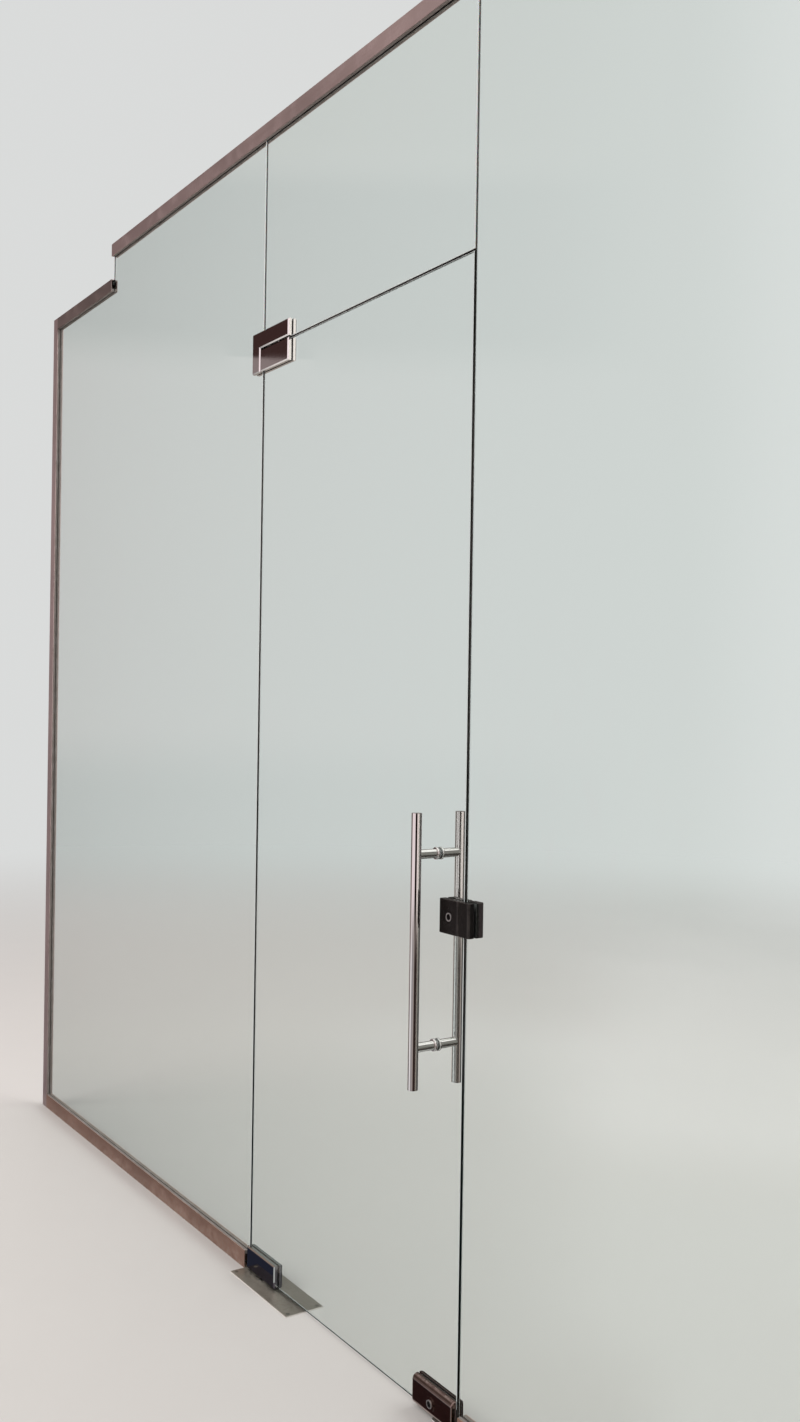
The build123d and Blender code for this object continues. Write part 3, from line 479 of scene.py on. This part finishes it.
@once
def grimy_shaded_steel(name, polish, roughness):
    """Polished steel of the corner lock drawn dark brown as a painted dark reflection, with floor dirt on
    its crown that is also painted shade over the crown's reflected band.
    """
    wanted = bpy.context.scene.glass_door_metal
    material, tree, shader = start_material(name)
    set_plain(shader, Metallic=1.0)
    patches = smooth_range(tree, noise_on(tree, 60.0, detail=4.0), 0.35, 0.7)
    colour = mix_colour(tree, patches, wanted.corner_lock, toned(wanted.corner_lock, 0.78))
    # The dust mask darkens the crown and the lowest centimetre: partly floor dirt, partly painted shade
    # over the reflected band
    dust = use_group(tree, dust_group(), {"Amount": 0.85, "Splash Height": 0.01})["Mask"]
    feed(tree, shader, "Base Color", mix_colour(tree, dust, colour, CROWN_DIRT_AND_SHADE))
    scratched = use_group(tree, scratches_group(), {"Stretch": polish, "Amount": wanted.wear})
    rough = plus(tree, times(tree, scratched["Rubbed"], 0.12), roughness)
    feed(tree, shader, "Roughness", plus(tree, rough, times(tree, dust, 0.2)))
    bump(tree, shader, scratched["Height"], 0.00002, strength=0.6)
    return material


@once
def lock_lacquer(name):
    """Near-black satin lacquer with a fine orange-peel skin, worn through at the edges, where the lighter
    colour is also a painted edge highlight.
    """
    wanted = bpy.context.scene.glass_door_metal
    material, tree, shader = start_material(name)
    set_plain(shader, Metallic=0.0, IOR=1.5, Specular_IOR_Level=0.13, Coat_Roughness=0.12)
    cloud = noise_on(tree, 60.0, detail=4.0)
    colour = mix_colour(tree, cloud, wanted.lock, toned(wanted.lock, 1.5))
    # Lighter edges: part wear, part painted edge highlight
    rubbed = use_group(tree, bevel_group(), {"Breakup": 0.6})["Mask"]
    colour = mix_colour(tree, times(tree, rubbed, 0.6 * wanted.wear), colour, LACQUER_WEAR_AND_HIGHLIGHT)
    touched = {"Centre": LOCK_HANDS, "Reach": 0.08, "Amount": 0.8}
    marks = use_group(tree, finger_marks_group(), touched)["Mask"]
    feed(tree, shader, "Base Color", mix_colour(tree, times(tree, marks, 0.06), colour, GREASY_LACQUER))
    feed(tree, shader, "Roughness", plus(tree, 0.27, times(tree, marks, 0.2)))
    feed(tree, shader, "Coat Weight", smooth_range(tree, cloud, 0.3, 0.7, to_low=0.03, to_high=0.10))
    bump(tree, shader, noise_on(tree, 1400.0), 0.00003)
    return material


@once
def anodised_channel(name, grain_way, tone):
    """Anodised aluminium channel with drawing lines, scuffs and dust."""
    wanted = bpy.context.scene.glass_door_metal
    material, tree, shader = start_material(name)
    grain = use_group(tree, grain_group(), {"Stretch": grain_way, "Fineness": 22.0})
    dust = use_group(tree, dust_group(), {"Amount": 0.7, "Splash Height": 0.05})["Mask"]
    scuffs = smooth_range(tree, noise_on(tree, 22.0, detail=7.0, roughness=0.68), 0.47, 0.70)
    stains = smooth_range(tree, noise_on(tree, 3.5), 0.35, 0.7)
    base = getattr(wanted, tone)
    colour = mix_colour(tree, stains, base, toned(base, 0.82))
    colour = mix_colour(tree, times(tree, scuffs, 0.8 * wanted.wear), colour, wanted.channel_worn)
    colour = mix_colour(tree, times(tree, grain["Streak"], 0.22), colour, BRIGHT_GRAIN)
    feed(tree, shader, "Base Color", mix_colour(tree, dust, colour, CHANNEL_DUST))
    feed(tree, shader, "Metallic", maths(tree, "SUBTRACT", 1.0, times(tree, dust, 0.85)))
    rough = plus(tree, times(tree, grain["Streak"], 0.18), times(tree, scuffs, 0.15))
    feed(tree, shader, "Roughness", plus(tree, rough, 0.30))
    bump(tree, shader, maths(tree, "SUBTRACT", grain["Height"], times(tree, scuffs, 0.6)), 0.00004)
    return material


@once
def satin_plate(name, grain_way):
    """Satin stainless plate at the floor, grey with foot wear and grit, with a painted highlight along its
    rim.
    """
    wanted = bpy.context.scene.glass_door_metal
    material, tree, shader = start_material(name)
    set_plain(shader, Anisotropic=0.5)
    grain = use_group(tree, grain_group(), {"Stretch": grain_way, "Fineness": 30.0})
    dust = use_group(tree, dust_group(), {"Amount": 0.55, "Splash Height": 0.004})["Mask"]
    trodden = {"Stretch": FOOT_SCRATCHES, "Amount": wanted.wear, "Fineness": 260.0}
    scratched = use_group(tree, scratches_group(), trodden)
    # The rim mask carries a painted highlight: light colour with no metal on the plate's upright edge
    rim = smooth_range(tree, facing(tree)["Z"], 0.5, 0.9, to_low=1.0, to_high=0.0)
    colour = mix_colour(tree, noise_on(tree, 17.0, detail=5.0), wanted.plate, toned(wanted.plate, 1.45))
    colour = mix_colour(tree, rim, mix_colour(tree, dust, colour, PLATE_DUST), PLATE_RIM_HIGHLIGHT)
    # Painted reflection: where a ray was mirrored on its way, the plate is drawn dark navy so the polished
    # covers show it dark
    feed(tree, shader, "Base Color", mix_colour(tree, mirrored(tree), colour, PLATE_PAINTED_REFLECTION))
    not_metal = maths(tree, "MAXIMUM", times(tree, dust, 0.8), rim)
    feed(tree, shader, "Metallic", maths(tree, "SUBTRACT", 1.0, not_metal))
    rough = plus(tree, times(tree, grain["Streak"], 0.22), times(tree, dust, 0.25))
    feed(tree, shader, "Roughness", plus(tree, rough, 0.24))
    bump(tree, shader, plus(tree, grain["Height"], scratched["Height"]), 0.00003)
    return material


@once
def cast_metal(name):
    """Rough cast or turned metal of the hidden fittings."""
    material, tree, shader = start_material(name)
    set_plain(shader, Metallic=1.0)
    colour, roughness = CASTINGS[name]
    sand = noise_on(tree, 900.0, detail=5.0, roughness=0.65)
    cloud = noise_on(tree, 55.0, detail=4.0)
    feed(tree, shader, "Base Color", mix_colour(tree, cloud, colour, toned(colour, 0.6)))
    feed(tree, shader, "Roughness", plus(tree, times(tree, sand, 0.2), roughness))
    bump(tree, shader, sand, 0.00012)
    return material


@once
def joint_silicone(name):
    """Milky silicone drawn flat between two panes, with small ripples from the tool."""
    wanted = bpy.context.scene.glass_door_seal
    material, tree, shader = start_material(name)
    set_plain(shader, Transmission_Weight=0.35, IOR=1.41, Subsurface_Weight=0.25, Subsurface_Scale=0.004)
    ripple = noise(tree, place_on(tree, (1.0, 1.0, 0.35)), 240.0)
    cloud = noise_on(tree, 12.0, detail=4.0)
    feed(tree, shader, "Base Color", mix_colour(tree, cloud, wanted.silicone, toned(wanted.silicone, 0.88)))
    feed(tree, shader, "Roughness", plus(tree, times(tree, ripple, 0.25), 0.22))
    bump(tree, shader, ripple, 0.0003)
    return material


@once
def rubber(name, tone, lift=0.0):
    """Matt rubber or fibre with a fine pore and grey bloom, its tone lifted by a little if asked."""
    wanted = bpy.context.scene.glass_door_seal
    material, tree, shader = start_material(name)
    set_plain(shader, Metallic=0.0, IOR=1.52)
    pores = noise_on(tree, 1500.0, detail=4.0)
    bloom = smooth_range(tree, noise_on(tree, 40.0, detail=5.0), 0.4, 0.75)
    base = tuple(part + lift for part in getattr(wanted, tone))
    bloomed = tuple(0.18 + part for part in base)
    feed(tree, shader, "Base Color", mix_colour(tree, times(tree, bloom, 0.35), base, bloomed))
    feed(tree, shader, "Roughness", plus(tree, times(tree, pores, 0.2), 0.55))
    bump(tree, shader, pores, 0.00008)
    return material


def dress(material, *names):
    """Gives CAD pieces a finish in their own slots."""
    for name in names:
        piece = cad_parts[name]
        if not piece.material_slots:
            piece.data.materials.append(material)
        for slot in piece.material_slots:
            slot.material = material


# ---------------------------------------------------------------- studio

# What reflections see behind the panels: below, above, and overhead
GLOW_BELOW = (0.50, 0.40, 0.36)
GLOW_ABOVE = (0.42, 0.36, 0.34)
GLOW_OVERHEAD = (1.25, 1.20, 1.18)

# Soft panels of the surround that only reflections see, each laid over those before it: azimuth, spread
# and softness in degrees; sines of the lowest and highest elevation and their softness; colour.
# Azimuth 0 is the right end of the screen, 90 behind it, 180 its left end and 270 in front.
REFLECTED_PANELS = (
    # in front: pale above, grey below
    ((269.0, 36.0, 7.0), (-0.17, 2.0, 0.03), (1.15, 0.99, 1.025)),
    ((240.0, 22.0, 9.0), (-0.33, -0.17, 0.03), (1.05, 1.00, 1.03)),
    ((283.0, 21.0, 5.0), (-0.33, -0.17, 0.03), (0.42, 0.38, 0.39)),
    ((265.0, 44.0, 8.0), (-2.0, -0.33, 0.04), (0.42, 0.44, 0.44)),
    # in front to the left: grey, dark and dim bands one over the other, the lower two with a crisp edge
    ((204.0, 14.0, 9.0), (-0.24, 0.262, 0.02), (0.34, 0.27, 0.27)),
    ((204.0, 14.0, 9.0), (0.262, 0.39, 0.02), (0.060, 0.030, 0.028)),
    ((204.0, 14.0, 9.0), (0.39, 0.65, 0.02), (0.26, 0.20, 0.17)),
    ((208.0, 1.4, 0.9), (0.22, 0.2618, 0.001), (0.34, 0.27, 0.27)),
    ((208.0, 1.4, 0.9), (0.2618, 0.32, 0.001), (0.060, 0.030, 0.028)),
    # low to the left: the dark and the light that the foot fittings mirror, and a dim band
    ((205.0, 12.0, 8.0), (-0.62, -0.24, 0.08), (0.020, 0.022, 0.038)),
    ((215.0, 8.0, 5.0), (-0.62, -0.445, 0.03), (0.060, 0.030, 0.030)),
    ((194.0, 9.0, 3.0), (-2.0, -0.445, 0.015), (0.85, 0.80, 0.78)),
    ((206.0, 10.0, 10.0), (-0.135, -0.04, 0.03), (0.13, 0.11, 0.11)),
    # in front to the right: pale above, and the dark line on the bars
    ((363.0, 22.0, 2.0), (-0.17, 2.0, 0.03), (1.15, 1.00, 0.97)),
    ((323.0, 20.0, 2.0), (-0.17, -0.02, 0.02), (0.012, 0.006, 0.006)),
    # behind: dim, with a bright and a grey upright strip, and dark and light below
    ((90.0, 50.0, 10.0), (-2.0, 2.0, 0.02), (0.070, 0.064, 0.062)),
    ((26.0, 8.0, 2.0), (-0.05, 2.0, 0.02), (1.60, 1.45, 1.40)),
    ((42.0, 9.0, 2.0), (-0.33, 0.50, 0.05), (0.30, 0.29, 0.27)),
    ((75.0, 45.0, 5.0), (-0.80, -0.33, 0.03), (0.020, 0.018, 0.014)),
    ((60.0, 50.0, 5.0), (-2.0, -0.82, 0.03), (1.15, 1.10, 1.06)),
    ((23.0, 7.0, 2.0), (-0.60, -0.30, 0.02), (0.16, 0.16, 0.17)),
    # small bands that the rounded edges and the posts mirror
    ((346.0, 26.0, 2.0), (-0.36, -0.17, 0.03), (0.040, 0.026, 0.024)),
    ((162.0, 28.0, 5.0), (0.42, 0.72, 0.02), (0.36, 0.31, 0.30)),
    ((150.0, 14.0, 6.0), (0.33, 0.455, 0.02), (0.27, 0.29, 0.28)),
    ((128.0, 6.0, 2.0), (-0.56, -0.42, 0.02), (1.00, 0.92, 0.88)),
)


def panel_share(tree, flat, height, across, heights):
    """How much of a reflected ray's direction a soft panel covers."""
    azimuth, spread, soft = (math.radians(angle) for angle in across)
    aim = vector_maths(tree, "DOT_PRODUCT", flat, (math.cos(azimuth), math.sin(azimuth), 0.0))
    beside = smooth_range(tree, aim, math.cos(spread + soft), math.cos(spread))
    low, high, fade = heights
    above = smooth_range(tree, height, low - fade, low + fade)
    below = smooth_range(tree, height, high - fade, high + fade, to_low=1.0, to_high=0.0)
    return times(tree, beside, times(tree, above, below))


def build_surround(world, backdrop):
    """A plain pale surround, with soft bright and dark panels that only reflections see."""
    world.use_nodes = True
    tree = world.node_tree
    tree.nodes.clear()
    ray = add(tree, "TexCoord").outputs["Generated"]
    height = add(tree, "SeparateXYZ", {0: ray}).outputs["Z"]
    flat = vector_maths(tree, "NORMALIZE", vector_maths(tree, "MULTIPLY", ray, (1.0, 1.0, 0.0)))
    seen = mix_colour(tree, smooth_range(tree, height, -0.5, 0.1), GLOW_BELOW, GLOW_ABOVE)
    for across, heights, colour in REFLECTED_PANELS:
        seen = mix_colour(tree, panel_share(tree, flat, height, across, heights), seen, colour)
    seen = mix_colour(tree, smooth_range(tree, height, 0.55, 0.75), seen, GLOW_OVERHEAD)
    panels = add(tree, "Background", {"Color": seen}).outputs["Background"]
    plain = add(tree, "Background", {"Color": (*backdrop, 1.0)}).outputs["Background"]
    add(tree, "OutputWorld", {"Surface": mix_shaders(tree, mirrored(tree), plain, panels)})


def lay_floor(wanted):
    """A wide pale floor that fades into the surround and that reflections don't see."""
    material, tree, shader = start_material("Studio floor")
    mottle = noise_on(tree, 1.6, detail=5.0)
    feed(tree, shader, "Base Color", mix_colour(tree, mottle, wanted.floor, toned(wanted.floor, 0.93)))
    feed(tree, shader, "Roughness", smooth_range(tree, mottle, 0.2, 0.8, to_low=0.42, to_high=0.55))
    far = smooth_range(tree, vector_maths(tree, "LENGTH", place_on(tree)), FADE_START, FADE_END)
    haze = add(tree, "Emission", {"Color": (*wanted.backdrop, 1.0)})
    faded = mix_shaders(tree, far, shader.outputs["BSDF"], haze.outputs["Emission"])
    open_floor = add(tree, "BsdfTransparent")
    show(tree, mix_shaders(tree, mirrored(tree), faded, open_floor.outputs["BSDF"]))

    turns = [math.tau * side / FLOOR_SIDES for side in range(FLOOR_SIDES)]
    radius = wanted.floor_radius
    rim = [(radius * math.cos(turn), radius * math.sin(turn), 0.0) for turn in turns]
    mesh = bpy.data.meshes.new("studio_floor")
    mesh.from_pydata(rim, [], [range(FLOOR_SIDES)])
    mesh.materials.append(material)
    floor = bpy.data.objects.new("studio_floor", mesh)
    bpy.context.scene.collection.objects.link(floor)


def hang_lamp(name, place, size, power, tone):
    """A large soft lamp that itself stays out of sight."""
    lamp = bpy.data.lights.new(name, "AREA")
    lamp.shape = "RECTANGLE"
    lamp.size, lamp.size_y = size
    lamp.energy = power
    lamp.color = tone
    holder = bpy.data.objects.new(name, lamp)
    holder.location = place
    holder.rotation_euler = (Vector(LAMP_AIM) - Vector(place)).to_track_quat("-Z", "Y").to_euler()
    holder.visible_glossy = False
    holder.visible_camera = False
    holder.visible_transmission = False
    bpy.context.scene.collection.objects.link(holder)


def stand_camera(wanted):
    """The camera where the photograph was taken, turned as it was."""
    turn, tip, roll = (math.radians(angle) for angle in (CAMERA_TURN, CAMERA_TIP, CAMERA_ROLL))
    ahead = Vector((-math.sin(turn) * math.cos(tip), math.cos(turn) * math.cos(tip), math.sin(tip)))
    level = Vector((math.cos(turn), math.sin(turn), 0.0))
    upright = level.cross(ahead)
    right = math.cos(roll) * level + math.sin(roll) * upright
    up = math.cos(roll) * upright - math.sin(roll) * level
    camera = bpy.data.cameras.new("camera")
    camera.sensor_fit = "VERTICAL"
    camera.sensor_height = LONG_SIDE_MM
    camera.lens = wanted.lens
    camera.clip_start = CLIP_NEAR
    camera.clip_end = CLIP_FAR
    stand = bpy.data.objects.new("camera", camera)
    stand.matrix_world = (
        Matrix.Translation((CAMERA_X, CAMERA_Y, wanted.camera_height))
        @ Matrix((right, up, -ahead)).transposed().to_4x4())
    bpy.context.scene.collection.objects.link(stand)
    bpy.context.scene.camera = stand


class GLASSDOOR_OT_studio(bpy.types.Operator):
    """Lay the floor, hang the lights and stand the camera where the photograph was taken"""
    bl_idname = "glassdoor.studio"
    bl_label = "Studio"

    def execute(self, context):
        scene = context.scene
        wanted = scene.glass_door_studio
        lay_floor(wanted)
        scene.world = bpy.data.worlds.new("Studio surround")
        build_surround(scene.world, wanted.backdrop)
        for name, place, size, share, tone in LAMPS:
            hang_lamp(name, place, size, share * wanted.key_power, tone)
        stand_camera(wanted)
        scene.view_settings.view_transform = "Standard"
        scene.cycles.max_bounces = 16
        scene.cycles.transmission_bounces = 14
        scene.cycles.transparent_max_bounces = 16
        scene.cycles.caustics_reflective = False
        scene.cycles.sample_clamp_indirect = 4.0
        return {"FINISHED"}


# ---------------------------------------------------------------- pieces

class GLASSDOOR_OT_panes(bpy.types.Operator):
    """Give the four panes their toughened glass"""
    bl_idname = "glassdoor.panes"
    bl_label = "Glass panes"

    def execute(self, context):
        fixed = toughened_glass("Fixed glass", FIXED_GLASS_HANDS)
        dress(fixed, "left_glass_panel", "over_panel_glass", "right_glass_panel")
        dress(toughened_glass("Leaf glass", LEAF_HANDS), "door_glass")
        return {"FINISHED"}


class GLASSDOOR_OT_channels(bpy.types.Operator):
    """Finish the aluminium channels that hold the fixed panes"""
    bl_idname = "glassdoor.channels"
    bl_label = "Edge channels"

    def execute(self, context):
        # The floor channels' colour carries a painted reflection of a red floor as well as their own tone
        floor = anodised_channel("Floor channel", LEVEL_GRAIN, "floor_channel")
        dress(floor, "left_floor_channel", "right_floor_channel")
        dress(anodised_channel("Wall channel", UPRIGHT_GRAIN, "channel"), "wall_channel", "end_channel")
        dress(anodised_channel("Head channel", LEVEL_GRAIN, "channel"), "ceiling_channel")
        # The soffit channel takes the darker tone that is painted shade from the beam above
        dress(anodised_channel("Soffit channel", LEVEL_GRAIN, "soffit_channel"), "soffit_channel")
        return {"FINISHED"}


class GLASSDOOR_OT_seals(bpy.types.Operator):
    """Finish the silicone joints, beads, blocks and liners"""
    bl_idname = "glassdoor.seals"
    bl_label = "Seals and liners"

    def execute(self, context):
        dress(joint_silicone("Joint silicone"), "joint_seals")
        dress(rubber("Glazing bead", "bead"), "channel_beads")
        dress(rubber("Block rubber", "rubber"), "setting_blocks")
        dress(rubber("Fibre liner", "rubber", lift=0.14), "fixed_liners", "leaf_liners")
        return {"FINISHED"}


class GLASSDOOR_OT_patches(bpy.types.Operator):
    """Finish the patch fittings that clamp and pivot the leaf"""
    bl_idname = "glassdoor.patches"
    bl_label = "Patch fittings"

    def execute(self, context):
        covers = mirror_steel("Polished cover", COVER_POLISH, 0.03)
        for fitting in ("pivot_patch", "top_patch", "bottom_patch"):
            dress(covers, fitting + "_outer_cover", fitting + "_inner_cover")
            dress(cast_metal("Patch casting"), fitting + "_body", fitting + "_clamp_plate")
        dress(cast_metal("Screw steel"), "fixed_clamp_screws", "leaf_clamp_screws")
        dress(cast_metal("Pivot steel"), "top_pivot_pin")
        dress(cast_metal("Bush brass"), "top_pivot_bush")
        return {"FINISHED"}


class GLASSDOOR_OT_floor_closer(bpy.types.Operator):
    """Finish the floor closer, its tray and its cover plate"""
    bl_idname = "glassdoor.floor_closer"
    bl_label = "Floor closer"

    def execute(self, context):
        dress(satin_plate("Satin plate", PLATE_GRAIN), "closer_cover_plate")
        dress(cast_metal("Plate screws"), "closer_plate_screws")
        dress(cast_metal("Closer casting"), "closer_body")
        dress(cast_metal("Tray steel"), "closer_tray")
        dress(cast_metal("Pivot steel"), "closer_spindle")
        return {"FINISHED"}


class GLASSDOOR_OT_corner_lock(bpy.types.Operator):
    """Finish the corner lock at the foot of the leaf and its floor keep"""
    bl_idname = "glassdoor.corner_lock"
    bl_label = "Corner lock"

    def execute(self, context):
        # Covers drawn dark as a painted reflection, with crown dirt that is partly painted shade
        covers = grimy_shaded_steel("Grimy cover", COVER_POLISH, 0.07)
        dress(covers, "corner_lock_outer_cover", "corner_lock_inner_cover")
        dress(cast_metal("Patch casting"), "corner_lock_body", "corner_lock_clamp_plate")
        nickel = mirror_steel("Cylinder nickel", EVEN_POLISH, 0.30)
        dress(nickel, "corner_lock_cylinder", "corner_lock_bolt")
        dress(cast_metal("Plug"), "corner_lock_plug")
        dress(satin_plate("Keep steel", KEEP_GRAIN), "floor_keep")
        return {"FINISHED"}


class GLASSDOOR_OT_hand_lock(bpy.types.Operator):
    """Finish the lock at hand height and its strike"""
    bl_idname = "glassdoor.hand_lock"
    bl_label = "Lock at hand height"

    def execute(self, context):
        lacquer = lock_lacquer("Lock lacquer")
        dress(lacquer, "lock_outer_case", "lock_inner_case", "lock_thumb_turn")
        dress(lacquer, "strike_outer_case", "strike_inner_case")
        dress(mirror_steel("Cylinder nickel", EVEN_POLISH, 0.30), "lock_cylinder", "lock_bolt")
        dress(cast_metal("Plug"), "lock_plug")
        return {"FINISHED"}


class GLASSDOOR_OT_pull_handle(bpy.types.Operator):
    """Finish the pull handle on both faces of the leaf"""
    bl_idname = "glassdoor.pull_handle"
    bl_label = "Pull handle"

    def execute(self, context):
        bars = mirror_steel("Bar steel", BAR_POLISH, 0.015, bevelled=False)
        dress(bars, "outer_handle_bar", "inner_handle_bar", "handle_end_caps")
        posts = mirror_steel("Post steel", POST_POLISH, 0.015)
        dress(posts, "handle_posts", "handle_collars", "handle_studs")
        dress(rubber("Clear washer", "rubber", lift=0.35), "handle_washers")
        return {"FINISHED"}


STEPS = (
    GLASSDOOR_OT_studio,
    GLASSDOOR_OT_panes,
    GLASSDOOR_OT_channels,
    GLASSDOOR_OT_seals,
    GLASSDOOR_OT_patches,
    GLASSDOOR_OT_floor_closer,
    GLASSDOOR_OT_corner_lock,
    GLASSDOOR_OT_hand_lock,
    GLASSDOOR_OT_pull_handle,
)


class GLASSDOOR_PT_panel(bpy.types.Panel):
    """Lists the steps and settings of the glass entrance door"""
    bl_idname = "GLASSDOOR_PT_panel"
    bl_label = "Glass Entrance Door"
    bl_space_type = "VIEW_3D"
    bl_region_type = "UI"
    bl_category = "Glass Door"

    def draw(self, context):
        for step in STEPS:
            self.layout.operator(step.bl_idname)
        for group_name, settings in GROUPS.items():
            box = self.layout.box()
            for setting in settings.__annotations__:
                box.prop(getattr(context.scene, group_name), setting)


CLASSES = (*GROUPS.values(), *STEPS, GLASSDOOR_PT_panel)


def register():
    for kind in CLASSES:
        bpy.utils.register_class(kind)
    for name, settings in GROUPS.items():
        setattr(bpy.types.Scene, name, PointerProperty(type=settings))


def unregister():
    for name in GROUPS:
        delattr(bpy.types.Scene, name)
    for kind in reversed(CLASSES):
        bpy.utils.unregister_class(kind)


def main():
    register()
    for step in STEPS:
        area, name = step.bl_idname.split(".")
        getattr(getattr(bpy.ops, area), name)()


if __name__ == "__main__":
    main()
